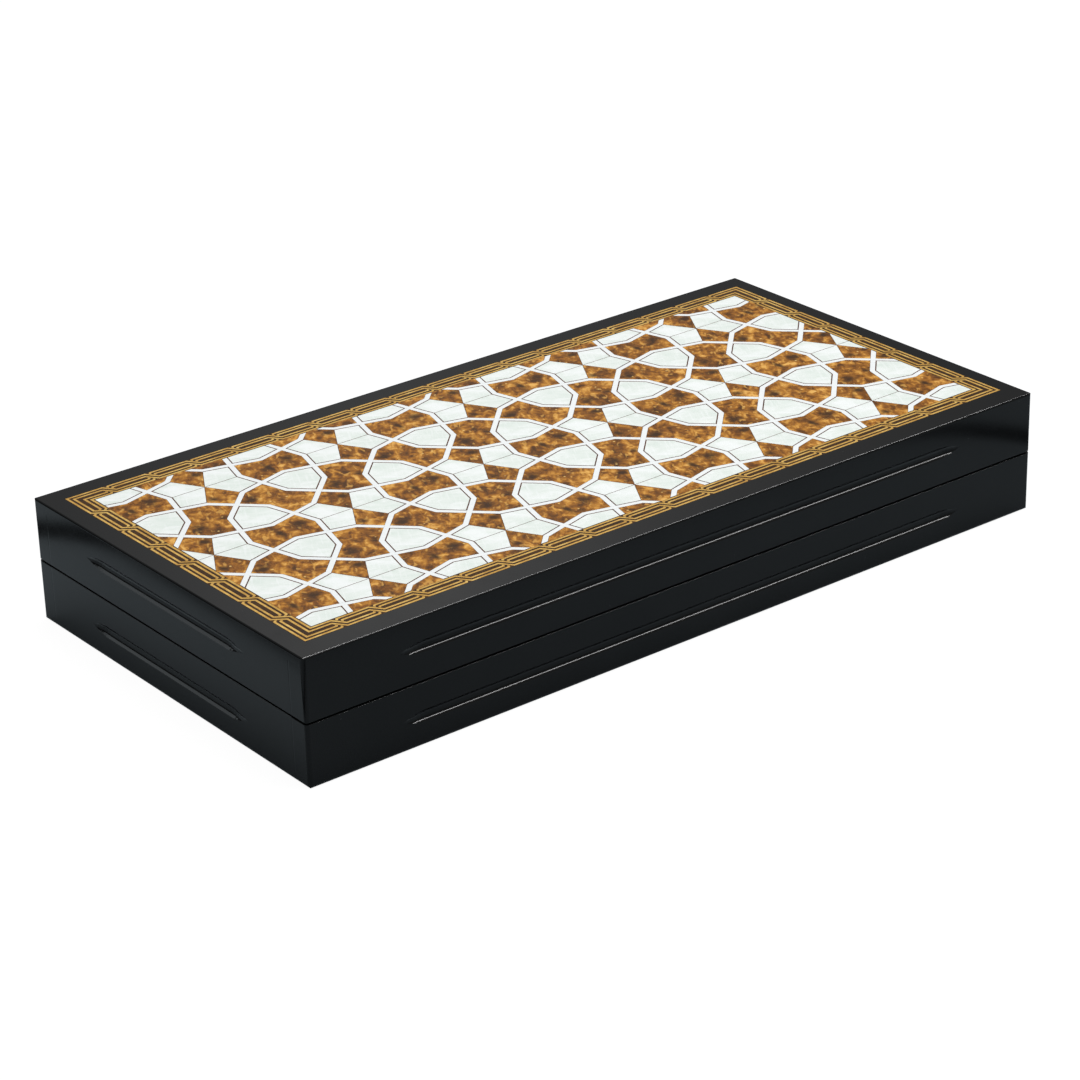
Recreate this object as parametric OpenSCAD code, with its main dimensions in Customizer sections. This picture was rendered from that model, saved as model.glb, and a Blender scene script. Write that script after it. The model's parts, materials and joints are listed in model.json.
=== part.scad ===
// Folding backgammon board: a black lacquered case in two equal trays, hinged along its
// back long side, with an inlaid lid and a playing field inside.
// Origin: centre of the underside. +X runs along the case, +Y to the hinges, +Z up.

/* [Case] */
// Length of the case
case_l = 481; // [450:1:540]
// Width of the closed case
case_w = 242.5; // [232:0.5:268]
// Height of each half, panel and rail together
half_h = 34; // [32:0.1:42]
// Gap between the rims of the closed halves
seam_gap = 1; // [0.4:0.1:1.2]
// Thickness of the rails
rail_t = 12; // [11.5:0.5:14]
// Thickness of the base and lid panels
panel_t = 5; // [4:0.5:7]
// Thickness of the boards that carry the playing field
board_t = 3; // [2:0.5:5]
// Gap round each field board inside its rails
board_fit = 0.1; // [0.05:0.05:0.2]
// Radius of the upright corners
corner_r = 2; // [1:0.1:2.5]
// Radius of the edges round the underside
base_edge_r = 2; // [1:0.1:3.5]
// Radius of the edges round the lid's top
top_edge_r = 1; // [0.3:0.1:1.5]
// Radius of the rim edges at the seam
rim_edge_r = 0.3; // [0.2:0.1:0.8]

/* [Side grooves] */
// Width of the groove along each side
groove_w = 6.5; // [4:0.5:8]
// Depth of the groove
groove_d = 1.6; // [1:0.1:2.5]
// Height of the groove's middle from the underside, or down from the top
groove_at = 16; // [12:0.5:18]
// Length of the groove's pointed end
groove_point_l = 15; // [6:1:20]
// Distance from the groove's tip to the corner on the long sides
groove_inset_long = 54; // [30:1:90]
// Distance from the groove's tip to the corner on the short sides
groove_inset_short = 50; // [30:1:80]

/* [Lid inlay] */
// Plain margin beside the border at each short end
margin_end = 10.8; // [8:0.1:16]
// Plain margin beside the border along each long side
margin_side = 13.35; // [10:0.05:18]
// How far the inlay sits off centre, to the right
inlay_shift_x = 0.9; // [0:0.1:2]
// How far the inlay sits off centre, to the back
inlay_shift_y = 1; // [0:0.1:3]
// Thickness of the dark ground veneer
ground_t = 0.3; // [0.2:0.1:0.6]
// How far the ground veneer shows outside the border
ground_rim_w = 0.4; // [0.2:0.1:1]
// Thickness of the straps, tiles and gilt lines laid on the ground
tile_t = 0.3; // [0.2:0.1:0.6]
// Width of the dark joint between a pearl tile and its straps
pearl_joint_w = 0.7; // [0.2:0.05:1]
// Width of the joint round a burl tile
burl_joint_w = 0.2; // [0.05:0.05:0.8]
// Width of the dark joint between neighbouring pearl kites
kite_joint_w = 0.4; // [0.2:0.05:0.8]
// Width of the joint where one strap passes under another
strap_joint_w = 0.05; // [0.03:0.01:0.2]
// Gap between the ground veneer and its pocket in the lid
ground_fit = 0.05; // [0.03:0.01:0.1]
// Distance between the middles of neighbouring rings
ring_pitch = 83.8; // [76:0.1:92]
// Radius of a ring to its corners, at the middle of its strap
ring_r = 62.1; // [58:0.1:66]
// Width of a strap
strap_w = 2.8; // [2:0.1:5]

/* [Plaited border] */
// Width of the border
border_w = 10.4; // [9.6:0.1:13]
// Width of one gilt line
line_w = 1.25; // [1:0.05:2]
// Gap between the two lines of a strand
strand_gap = 1.4; // [0.5:0.05:1.6]
// Gap between a strand and the one that passes over it
crossing_gap = 0.45; // [0.3:0.05:0.8]
// Slope of the strands where they cross, in degrees
crossing_angle = 54; // [45:1:65]
// Distance between crossings along the long sides
crossing_pitch_long = 25.8; // [22:0.1:32]
// Distance between crossings along the short sides
crossing_pitch_short = 27; // [22:0.1:32]
// Distance from the corner to a long side's first crossing
first_crossing_long = 23.2; // [20:0.1:40]
// Distance from the corner to a short side's first crossing
first_crossing_short = 27.9; // [20:0.1:40]
// How much sooner the second crossing comes along the front
front_pull = 3.9; // [0:0.1:6]

/* [Playing field] */
// Length of a point
point_l = 190; // [160:1:205]
// Gap between the feet of neighbouring points
point_gap = 1; // [0.5:0.1:3]
// Thickness of a point's veneer
point_t = 0.3; // [0.2:0.1:0.6]

/* [Checkers and dice] */
// How much smaller a checker is than the pitch of the points
checker_play = 3; // [2:0.1:6]
// Thickness of a checker
checker_t = 9; // [6:0.5:11]
// Radius of a checker's edges
checker_edge_r = 1.5; // [0.5:0.1:2.5]
// Width of the ring turned in each face of a checker
checker_ring_w = 2.4; // [1:0.1:3]
// Diameter of the outer turned ring, at its middle
outer_ring_d = 20.4; // [18:0.2:21]
// Diameter of the inner turned ring, at its middle
inner_ring_d = 11.2; // [8:0.2:12]
// Gap between neighbouring checkers
checker_gap = 0.5; // [0.3:0.1:1]
// Edge length of a die
die_a = 13; // [10:0.5:16]
// How much is rounded off each corner of a die
die_corner_cut = 1.9; // [1:0.1:2.2]
// Diameter of the ball that sinks a die's pips
pip_d = 2.4; // [1.5:0.1:3]
// Depth of a pip
pip_deep = 0.7; // [0.3:0.1:1]
// Distance between a face's rows of pips
pip_pitch = 3.4; // [2.8:0.1:4]

/* [Hinges] */
// Length of a hinge
hinge_l = 40; // [34:1:60]
// Distance from the case's end to the middle of a hinge
hinge_inset = 90; // [60:1:120]
// How far a leaf reaches over the rim
leaf_w = 10; // [8.5:0.1:10.5]
// Thickness of a leaf
leaf_t = 1.2; // [1:0.1:1.6]
// Distance from the back of the case to the hinge axis
axis_out = 1.2; // [0.9:0.1:1.5]
// Diameter of the barrel
barrel_d = 5; // [4.6:0.1:6]
// Diameter of the hinge pin
pin_d = 2.4; // [2:0.1:2.8]
// Radial gap between the pin and its knuckles
pin_fit = 0.05; // [0.03:0.01:0.08]
// Gap beside a knuckle, and round a barrel in the rails
knuckle_gap = 0.3; // [0.2:0.05:0.5]
// Diameter of the pin's two heads
pin_head_d = 3.8; // [3.4:0.1:4.2]
// Thickness of the pin's heads
pin_head_t = 0.8; // [0.5:0.1:1.5]

/* [Screws and magnets] */
// Diameter of a screw's shank
screw_d = 2; // [1.6:0.1:2.4]
// Diameter of a screw's head
screw_head_d = 4.2; // [3.6:0.1:5]
// Length of a screw
screw_l = 8; // [6:0.5:10]
// Diameter of a screw's blunt tip
screw_tip_d = 0.4; // [0.2:0.1:0.8]
// Length of the crossed slot in a screw's head
slot_l = 2.5; // [1.5:0.1:3]
// Width of the crossed slot
slot_w = 0.6; // [0.3:0.1:0.8]
// Depth of the crossed slot
slot_deep = 0.6; // [0.3:0.1:0.8]
// Radial gap round a screw's shank
screw_fit = 0.05; // [0.03:0.01:0.08]
// Distance between neighbouring screws of a leaf
screw_pitch = 13; // [11:0.5:14]
// Diameter of a magnet
magnet_d = 8; // [5:0.5:9]
// Thickness of a magnet
magnet_t = 3; // [2:0.5:5]
// Radial gap round a magnet
magnet_fit = 0.05; // [0.03:0.01:0.08]
// Distance from the case's end to a magnet
magnet_inset = 90; // [40:1:150]

/* [Hidden] */
$fn = 64;

seam_z = half_h + seam_gap / 2;
closed_h = 2 * seam_z;
rail_h = half_h - panel_t;
inner_l = case_l - 2 * rail_t;
inner_w = case_w - 2 * rail_t;
board_top = panel_t + board_t;
// Short cones that make up a groove's pointed end
point_cones = 6;
// A cutter reaches this far past the face that it opens
past = 1;
// Repeats of a flat pattern overlap by this much, so that they join
join = 0.02;

inlay_l = case_l - 2 * margin_end;
inlay_w = case_w - 2 * margin_side;
inlay_t = ground_t + tile_t;
field_l = inlay_l - 2 * border_w;
field_w = inlay_w - 2 * border_w;
ground_l = inlay_l + 2 * ground_rim_w;
ground_w = inlay_w + 2 * ground_rim_w;
ring_row = ring_pitch * sin(60);
// The rings are twelve-sided, so a strap is widened by this at its corners
corner_stretch = 1 / cos(15);
// Height of a crossing over the line between the two rings' middles
crossing_rise = ring_r * cos(15) * sqrt(2) - ring_pitch / 2;
// Middles of the rings that reach the field, with one more ring all round
ring_cols = ceil((field_l / 2 + ring_pitch) / ring_pitch);
ring_rows = ceil((field_w / 2 + ring_pitch) / ring_row);
ring_middles = [
    for (j = [-ring_rows : ring_rows], i = [-ring_cols : ring_cols])
        [(i + (j % 2 == 0 ? 0.5 : 0)) * ring_pitch, j * ring_row]
];

strand_w = 2 * line_w + strand_gap;
// Middles of the outer and the inner strand, from the border's outer edge
outer_v = strand_w / 2;
inner_v = border_w - strand_w / 2;
// Half the run of a crossing, and the shift of its corners per unit of offset
cross_run = (inner_v - outer_v) / tan(crossing_angle) / 2;
cross_lean = tan(crossing_angle / 2);
// Half the length of border that a crossing takes up
crossing_reach = cross_run + strand_w;

points_per_end = 6;
point_pitch = inner_w / points_per_end;
checkers_per_column = 5;
columns_per_side = 3;
checker_d = point_pitch - checker_play;
checker_z = board_top + point_t;
// Where each die lies, and its turn
dice_places = [[-11.7, -46.8, 20], [10.4, -29.9, 65]];

axis_y = case_w / 2 + axis_out;
hinge_x = case_l / 2 - hinge_inset;
knuckle_l = (hinge_l - 2 * knuckle_gap) / 3;
screw_y = (case_w - leaf_w) / 2;
magnet_x = case_l / 2 - magnet_inset;
magnet_y = -case_w / 2 + rail_t / 2;

lacquer = [0.05, 0.05, 0.06];
pearl = [0.91, 0.94, 0.92];
burl = [0.59, 0.35, 0.12];
ground = [0.2, 0.12, 0.08];
gilt = [0.8, 0.63, 0.28];
brass = [0.78, 0.62, 0.32];
walnut = [0.3, 0.17, 0.1];
ivory = [0.93, 0.88, 0.76];
ebony = [0.1, 0.07, 0.06];
steel = [0.7, 0.71, 0.73];

// Shared shapes

module round_rect(size, r) {
    square([size[0] - 2 * r, size[1]], center = true);
    square([size[0], size[1] - 2 * r], center = true);
    for (x = [-1, 1], y = [-1, 1])
        translate([x * (size[0] / 2 - r), y * (size[1] / 2 - r)])
            circle(r);
}

// A w by h section standing on the X axis, with its two upper corners rounded
module crowned_section(w, h, r) {
    translate([-w / 2, 0])
        square([w, h - r]);
    translate([r - w / 2, 0])
        square([w - 2 * r, h]);
    for (x = [-1, 1])
        translate([x * (w / 2 - r), h - r])
            circle(r);
}

// A flat panel that stands on z = 0, with its upper edges and its corners rounded
module crowned_panel(edge_r) {
    intersection() {
        linear_extrude(panel_t)
            round_rect([case_l, case_w], corner_r);
        rotate([90, 0, 0])
            linear_extrude(case_w, center = true)
                crowned_section(case_l, panel_t, edge_r);
        rotate([90, 0, 90])
            linear_extrude(case_l, center = true)
                crowned_section(case_w, panel_t, edge_r);
    }
}

// The lid is the lower half turned over about the seam
module turned_over() {
    translate([0, 0, closed_h])
        mirror([0, 0, 1])
            children();
}

// Rails

// How much shallower a groove is at a share of its pointed end
function groove_rise(share) = groove_d * sin(90 * share) * sin(90 * share);

// Cutter for the pointed groove of a side that lies at y = -depth / 2
module groove(length, depth) {
    r = (groove_w * groove_w / 4 + groove_d * groove_d) / (2 * groove_d);
    straight = length - 2 * groove_point_l;
    cone_l = groove_point_l / point_cones;
    translate([0, -depth / 2 - (r - groove_d), groove_at])
        rotate([0, 90, 0]) {
            cylinder(r = r, h = straight, center = true);
            for (turn = [0, 180], i = [0 : point_cones - 1])
                rotate([turn, 0, 0])
                    translate([0, 0, straight / 2 + i * cone_l])
                        cylinder(r1 = r - groove_rise(i / point_cones),
                            r2 = r - groove_rise((i + 1) / point_cones), h = cone_l);
        }
}

// A rail with its outer face at y = -depth / 2, standing on the lower panel. Its ends stop
// short of the corners by end_inset, so that the side rails fit between the long ones
module rail(length, depth, groove_inset, end_inset) {
    rail_l = length - 2 * end_inset;
    difference() {
        intersection() {
            translate([0, 0, panel_t])
                linear_extrude(rail_h)
                    round_rect([length, depth], corner_r);
            translate([-rail_l / 2, -depth / 2, panel_t])
                cube([rail_l, rail_t, rail_h]);
            translate([0, (rail_t - depth) / 2, panel_t])
                rotate([90, 0, 90])
                    linear_extrude(length, center = true)
                        crowned_section(rail_t, rail_h, rim_edge_r);
            translate([0, 0, panel_t])
                rotate([90, 0, 0])
                    linear_extrude(depth, center = true)
                        crowned_section(length, rail_h, rim_edge_r);
        }
        groove(length - 2 * groove_inset, depth);
    }
}

module front_rail() {
    difference() {
        rail(case_l, case_w, groove_inset_long, 0);
        for (side = [-1, 1])
            translate([side * magnet_x, magnet_y, half_h - magnet_t])
                cylinder(d = magnet_d + 2 * magnet_fit, h = magnet_t + past);
    }
}

module back_rail() {
    difference() {
        rotate(180)
            rail(case_l, case_w, groove_inset_long, 0);
        for (side = [-1, 1])
            translate([side * hinge_x, 0, 0])
                hinge_seat();
    }
}

module left_rail() {
    rotate(-90)
        rail(case_w, case_l, groove_inset_short, rail_t);
}

module right_rail() {
    rotate(90)
        rail(case_w, case_l, groove_inset_short, rail_t);
}

// What a hinge takes out of the lower back rail: leaf mortise, barrel relief, pilot holes
module hinge_seat() {
    translate([-hinge_l / 2 - knuckle_gap, case_w / 2 - leaf_w - knuckle_gap, half_h - leaf_t])
        cube([hinge_l + 2 * knuckle_gap, leaf_w + knuckle_gap + past, leaf_t + past]);
    barrel(barrel_d / 2 + knuckle_gap, hinge_l + 2 * (pin_head_t + knuckle_gap));
    screw_places()
        translate([0, 0, -screw_l])
            cylinder(r = screw_d / 2 + screw_fit, h = screw_l);
}

// Hinges, with the lower leaf drawn in place and the lid's leaf turned over from it

module barrel(r, length, x = 0) {
    translate([x, axis_y, seam_z])
        rotate([0, 90, 0])
            cylinder(r = r, h = length, center = true);
}

module screw_places() {
    for (i = [-1, 0, 1])
        translate([i * screw_pitch, screw_y, half_h])
            children();
}

// A leaf with knuckles at own, cleared at the places of the other leaf's knuckles
module leaf(own, other) {
    difference() {
        union() {
            translate([-hinge_l / 2, case_w / 2 - leaf_w, half_h - leaf_t])
                cube([hinge_l, leaf_w + axis_out, leaf_t]);
            for (i = own)
                barrel(barrel_d / 2, knuckle_l, i * (knuckle_l + knuckle_gap));
        }
        for (i = other)
            barrel(barrel_d / 2 + knuckle_gap, knuckle_l + 2 * knuckle_gap,
                i * (knuckle_l + knuckle_gap));
        barrel(pin_d / 2 + pin_fit, hinge_l + 2 * past);
        screw_places() {
            translate([0, 0, -screw_l])
                cylinder(r = screw_d / 2 + screw_fit, h = screw_l + past);
            countersink(screw_fit);
        }
    }
}

// The cone of a screw head, with its wide face flush at z = 0
module countersink(gap) {
    r = screw_head_d / 2;
    deep = min(r - screw_d / 2, leaf_t);
    translate([0, 0, -deep])
        cylinder(r1 = r - deep + gap, r2 = r + gap, h = deep);
}

module lower_leaf() {
    leaf([-1, 1], [0]);
}

module lid_leaf() {
    turned_over()
        leaf([0], [-1, 1]);
}

module hinge_pin() {
    barrel(pin_d / 2, hinge_l + 2 * knuckle_gap);
    for (side = [-1, 1])
        barrel(pin_head_d / 2, pin_head_t,
            side * (hinge_l + pin_head_t + knuckle_gap) / 2);
}

// A countersunk screw with its head at z = 0, a point at its end and a crossed slot
module screw() {
    point = screw_d;
    difference() {
        union() {
            translate([0, 0, point - screw_l])
                cylinder(d = screw_d, h = screw_l - point);
            translate([0, 0, -screw_l])
                cylinder(d1 = screw_tip_d, d2 = screw_d, h = point);
            countersink(0);
        }
        for (turn = [0, 90])
            rotate(turn)
                cube([slot_l, slot_w, 2 * slot_deep], center = true);
    }
}

module hinge_screws() {
    for (side = [-1, 1])
        translate([side * hinge_x, 0, 0])
            screw_places()
                screw();
}

module magnets() {
    for (side = [-1, 1])
        translate([side * magnet_x, magnet_y, half_h - magnet_t])
            cylinder(d = magnet_d, h = magnet_t);
}

// Playing field

module field_board() {
    translate([-inner_l / 2 + board_fit, -inner_w / 2 + board_fit, panel_t])
        cube([inner_l - 2 * board_fit, inner_w - 2 * board_fit, board_t]);
}

// The points of one colour: every second one, counted from the front, starting at first
// at the left end and at the other colour's place at the right end
module points(first) {
    foot = point_pitch - point_gap;
    translate([0, 0, board_top])
        linear_extrude(point_t)
            for (end = [0, 1], i = [(first + end) % 2 : 2 : points_per_end - 1])
                mirror([end, 0])
                    translate([-inner_l / 2 + board_fit, point_y(i)])
                        polygon([[0, -foot / 2], [point_l, 0], [0, foot / 2]]);
}

function point_y(i) = (i + 0.5) * point_pitch - inner_w / 2;

// Checkers and dice

module checker() {
    r = checker_d / 2;
    rotate_extrude()
        difference() {
            union() {
                square([r - checker_edge_r, checker_t]);
                translate([0, checker_edge_r])
                    square([r, checker_t - 2 * checker_edge_r]);
                for (z = [checker_edge_r, checker_t - checker_edge_r])
                    translate([r - checker_edge_r, z])
                        circle(checker_edge_r);
            }
            for (z = [0, checker_t], ring_d = [inner_ring_d, outer_ring_d])
                translate([ring_d / 2, z])
                    circle(checker_ring_w / 2);
        }
}

// Columns of checkers on every second point, from one end of the case
module checker_columns(end) {
    step = checker_d + checker_gap;
    for (column = [0 : columns_per_side - 1], k = [0 : checkers_per_column - 1])
        translate([
            end * (inner_l / 2 - checker_gap - checker_d / 2 - k * step),
            point_y(2 * column + (end > 0 ? 1 : 0)),
            checker_z
        ])
            checker();
}

// Pips in the face that looks up, n of them
module pips(n) {
    spots = [
        for (x = [-1, 0, 1], y = [-1, 0, 1])
            if ((x == 0 && y == 0 && n % 2 == 1) || (x == y && x != 0 && n > 1)
                || (x == -y && x != 0 && n > 3) || (x == 0 && y != 0 && n == 6))
                [x, y]
    ];
    for (s = spots)
        translate([s[0] * pip_pitch, s[1] * pip_pitch, (die_a + pip_d) / 2 - pip_deep])
            sphere(d = pip_d);
}

module die() {
    difference() {
        intersection() {
            cube(die_a, center = true);
            sphere(r = die_a * sqrt(3) / 2 - die_corner_cut);
        }
        pips(6);
        rotate([180, 0, 0]) pips(1);
        rotate([90, 0, 0]) pips(5);
        rotate([-90, 0, 0]) pips(2);
        rotate([0, 90, 0]) pips(4);
        rotate([0, -90, 0]) pips(3);
    }
}

// Lid inlay, drawn flat about its own middle

module on_lid(from_top, thick) {
    translate([inlay_shift_x, inlay_shift_y, closed_h - from_top])
        linear_extrude(thick)
            children();
}

function neighbour(c, k) = c + ring_pitch * [cos(60 * k), sin(60 * k)];

module disc(c, r = ring_r) {
    translate(c)
        circle(r, $fn = 12);
}

// The strap of the ring about c, wider by more on each side
module ring_strap(c, more) {
    half = (strap_w / 2 + more) * corner_stretch;
    difference() {
        disc(c, ring_r + half);
        disc(c, ring_r - half);
    }
}

// Each ring passes under every neighbour once and over it once, in turn
module woven_straps() {
    for (c = ring_middles)
        difference() {
            ring_strap(c, 0);
            for (k = [0 : 5])
                intersection() {
                    ring_strap(neighbour(c, k), strap_joint_w);
                    translate(c)
                        rotate(60 * k)
                            translate([ring_pitch / 2, crossing_rise])
                                square(4 * strap_w, center = true);
                }
        }
}

// Where three rings overlap
module shields() {
    for (c = ring_middles, k = [0, 1])
        intersection() {
            disc(c);
            disc(neighbour(c, k));
            disc(neighbour(c, k + 1));
        }
}

// Where just two rings overlap
module lenses() {
    for (c = ring_middles, k = [0, 1, 2])
        difference() {
            intersection() {
                disc(c);
                disc(neighbour(c, k));
            }
            disc(neighbour(c, k - 1));
            disc(neighbour(c, k + 1));
        }
}

// The kites round each middle that no neighbouring ring covers; k counts from 30 degrees.
// Each is drawn back from the middle, so that a joint stays open beside it
module kites(ks, joint) {
    reach = ring_pitch / 2;
    for (c = ring_middles, k = ks)
        difference() {
            translate(c)
                rotate(60 * k + 30)
                    polygon([
                        [joint, 0],
                        [joint + reach, -reach * tan(30)],
                        [joint + reach, reach * tan(30)]
                    ]);
            disc(neighbour(c, k));
            disc(neighbour(c, k + 1));
        }
}

// Cuts a pattern off at the field's edge, one joint inside it, and joins what overlaps
module in_field(joint) {
    offset(delta = 0)
        intersection() {
            square([field_l - 2 * joint, field_w - 2 * joint], center = true);
            children();
        }
}

// Tiles are drawn back from the straps by one joint
module tiles(joint) {
    in_field(joint)
        difference() {
            children();
            for (c = ring_middles)
                ring_strap(c, joint);
        }
}

// One crossing of the plait, from -run to run, with v counted from the outer edge.
// The edge of a strand at offset d from its middle, going from the inner to the outer place
function strand_edge(d, run) = [
    [-run, inner_v + d],
    [d * cross_lean - cross_run, inner_v + d],
    [d * cross_lean + cross_run, outer_v + d],
    [run, outer_v + d]
];

module strand(low, high, run) {
    back = strand_edge(low, run);
    polygon(concat(strand_edge(high, run), [for (i = [3 : -1 : 0]) back[i]]));
}

module strand_lines(run) {
    strand(-strand_w / 2, line_w - strand_w / 2, run);
    strand(strand_w / 2 - line_w, strand_w / 2, run);
}

module crossing(run) {
    strand_lines(run);
    difference() {
        mirror([1, 0])
            strand_lines(run);
        strand(-strand_w / 2 - crossing_gap, strand_w / 2 + crossing_gap, run + past);
    }
}

// Places of the crossings along a side, from its first corner
function crossings(length, first, pitch, pull = 0) = [
    for (i = [0 : floor((length - first + pull - border_w - crossing_reach) / pitch)])
        first + i * pitch - (i > 0 ? pull : 0)
];

// Puts the crossing at each place of the front side, then of the left side, both turned
// half round for the back and the right side
module crossing_places() {
    corner = [-inlay_l / 2, -inlay_w / 2];
    front = crossings(inlay_l, first_crossing_long, crossing_pitch_long, front_pull);
    back = crossings(inlay_l, first_crossing_long, crossing_pitch_long);
    ends = crossings(inlay_w, first_crossing_short, crossing_pitch_short);
    for (turn = [0, 180])
        rotate(turn) {
            for (p = turn == 0 ? front : back)
                translate(corner + [p, 0])
                    children();
            for (p = ends)
                translate(corner + [0, p])
                    mirror([1, -1])
                        children();
        }
}

// Four lines run round as mitred frames, and are opened for each crossing
module plaited_border() {
    difference() {
        for (o = [0, line_w + strand_gap, border_w - strand_w, border_w - line_w])
            difference() {
                square([inlay_l - 2 * o, inlay_w - 2 * o], center = true);
                square([inlay_l - 2 * (o + line_w), inlay_w - 2 * (o + line_w)], center = true);
            }
        crossing_places()
            translate([-crossing_reach, -past])
                square([2 * crossing_reach, border_w + 2 * past]);
    }
    crossing_places()
        crossing(crossing_reach + join);
}

// The pieces of the lower half

module base_panel() {
    color(lacquer)
        translate([0, 0, panel_t])
            mirror([0, 0, 1])
                crowned_panel(base_edge_r);
}

module lower_front_rail() {
    color(lacquer)
        front_rail();
}

module lower_back_rail() {
    color(lacquer)
        back_rail();
}

module lower_left_rail() {
    color(lacquer)
        left_rail();
}

module lower_right_rail() {
    color(lacquer)
        right_rail();
}

module lower_board() {
    color(burl)
        field_board();
}

module lower_pearl_points() {
    color(pearl)
        points(0);
}

module lower_dark_points() {
    color(walnut)
        points(1);
}

// The pieces of the lid

module lid_panel() {
    color(lacquer)
        difference() {
            translate([0, 0, closed_h - panel_t])
                crowned_panel(top_edge_r);
            on_lid(inlay_t, inlay_t + past)
                square([ground_l + 2 * ground_fit, ground_w + 2 * ground_fit], center = true);
        }
}

module lid_front_rail() {
    color(lacquer)
        turned_over()
            front_rail();
}

module lid_back_rail() {
    color(lacquer)
        turned_over()
            back_rail();
}

module lid_left_rail() {
    color(lacquer)
        turned_over()
            left_rail();
}

module lid_right_rail() {
    color(lacquer)
        turned_over()
            right_rail();
}

module lid_board() {
    color(burl)
        turned_over()
            field_board();
}

module lid_pearl_points() {
    color(pearl)
        turned_over()
            points(1);
}

module lid_dark_points() {
    color(walnut)
        turned_over()
            points(0);
}

// The inlay on the lid

module inlay_ground() {
    color(ground)
        on_lid(inlay_t, ground_t)
            square([ground_l, ground_w], center = true);
}

module inlay_straps() {
    color(pearl)
        on_lid(tile_t, tile_t)
            in_field(pearl_joint_w)
                woven_straps();
}

module inlay_pearl_tiles() {
    color(pearl)
        on_lid(tile_t, tile_t)
            tiles(pearl_joint_w) {
                shields();
                kites([0, 2, 3, 5], kite_joint_w);
            }
}

module inlay_burl_tiles() {
    color(burl)
        on_lid(tile_t, tile_t)
            tiles(burl_joint_w) {
                lenses();
                kites([1, 4], burl_joint_w);
            }
}

module inlay_gilt_border() {
    color(gilt)
        on_lid(tile_t, tile_t)
            offset(delta = 0)
                plaited_border();
}

// Hardware

module left_hinge_lower_leaf() {
    color(brass)
        translate([-hinge_x, 0, 0])
            lower_leaf();
}

module left_hinge_lid_leaf() {
    color(brass)
        translate([-hinge_x, 0, 0])
            lid_leaf();
}

module left_hinge_pin() {
    color(steel)
        translate([-hinge_x, 0, 0])
            hinge_pin();
}

module right_hinge_lower_leaf() {
    color(brass)
        translate([hinge_x, 0, 0])
            lower_leaf();
}

module right_hinge_lid_leaf() {
    color(brass)
        translate([hinge_x, 0, 0])
            lid_leaf();
}

module right_hinge_pin() {
    color(steel)
        translate([hinge_x, 0, 0])
            hinge_pin();
}

module lower_hinge_screws() {
    color(brass)
        hinge_screws();
}

module lid_hinge_screws() {
    color(brass)
        turned_over()
            hinge_screws();
}

module lower_magnets() {
    color(steel)
        magnets();
}

module lid_magnets() {
    color(steel)
        turned_over()
            magnets();
}

// Loose contents

module light_checkers() {
    color(ivory)
        checker_columns(-1);
}

module dark_checkers() {
    color(ebony)
        checker_columns(1);
}

module dice() {
    color(ivory)
        for (place = dice_places)
            translate([place[0], place[1], board_top + die_a / 2])
                rotate(place[2])
                    die();
}

base_panel();
lower_front_rail();
lower_back_rail();
lower_left_rail();
lower_right_rail();
lower_board();
lower_pearl_points();
lower_dark_points();
lid_panel();
lid_front_rail();
lid_back_rail();
lid_left_rail();
lid_right_rail();
lid_board();
lid_pearl_points();
lid_dark_points();
inlay_ground();
inlay_straps();
inlay_pearl_tiles();
inlay_burl_tiles();
inlay_gilt_border();
left_hinge_lower_leaf();
left_hinge_lid_leaf();
left_hinge_pin();
right_hinge_lower_leaf();
right_hinge_lid_leaf();
right_hinge_pin();
lower_hinge_screws();
lid_hinge_screws();
lower_magnets();
lid_magnets();
light_checkers();
dark_checkers();
dice();
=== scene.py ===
"""The looks of a folding backgammon board: a black lacquered case, hinged along its back,
with an inlaid lid of woven straps, pearl and burl tiles and a plaited gilt border."""

import json
import math

import bpy
from mathutils import Matrix, Vector

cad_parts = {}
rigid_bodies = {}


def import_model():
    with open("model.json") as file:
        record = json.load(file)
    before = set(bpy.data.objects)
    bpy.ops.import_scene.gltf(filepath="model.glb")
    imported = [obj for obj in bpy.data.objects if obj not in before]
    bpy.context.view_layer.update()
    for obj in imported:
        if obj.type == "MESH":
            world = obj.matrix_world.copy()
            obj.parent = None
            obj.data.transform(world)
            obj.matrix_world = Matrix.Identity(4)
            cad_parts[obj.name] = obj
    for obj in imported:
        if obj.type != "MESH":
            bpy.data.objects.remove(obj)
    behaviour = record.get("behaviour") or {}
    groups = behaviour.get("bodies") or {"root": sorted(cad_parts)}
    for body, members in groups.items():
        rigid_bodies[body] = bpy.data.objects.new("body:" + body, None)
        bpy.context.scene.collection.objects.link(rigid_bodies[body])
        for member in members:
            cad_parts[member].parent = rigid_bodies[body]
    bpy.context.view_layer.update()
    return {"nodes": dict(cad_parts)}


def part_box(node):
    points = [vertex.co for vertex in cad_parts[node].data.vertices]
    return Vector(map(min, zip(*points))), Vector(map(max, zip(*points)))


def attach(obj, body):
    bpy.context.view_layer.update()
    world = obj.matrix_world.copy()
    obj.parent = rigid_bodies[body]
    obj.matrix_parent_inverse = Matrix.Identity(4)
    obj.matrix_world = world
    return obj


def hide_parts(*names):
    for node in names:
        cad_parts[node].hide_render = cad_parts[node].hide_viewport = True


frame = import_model()

MM = 0.001
NODES = frame["nodes"]

# The field boards: the height of each, and which way up its pattern lies
BOARDS = {"lower_case": (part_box("lower_board")[1].z, 1), "lid": (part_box("lid_board")[0].z, -1)}
# The points: their length, the gap between two feet, and the board's clearance in its tray
POINT_L = 190 * MM
POINT_GAP = 1 * MM
BOARD_CLEARANCE = 0.1 * MM
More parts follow.
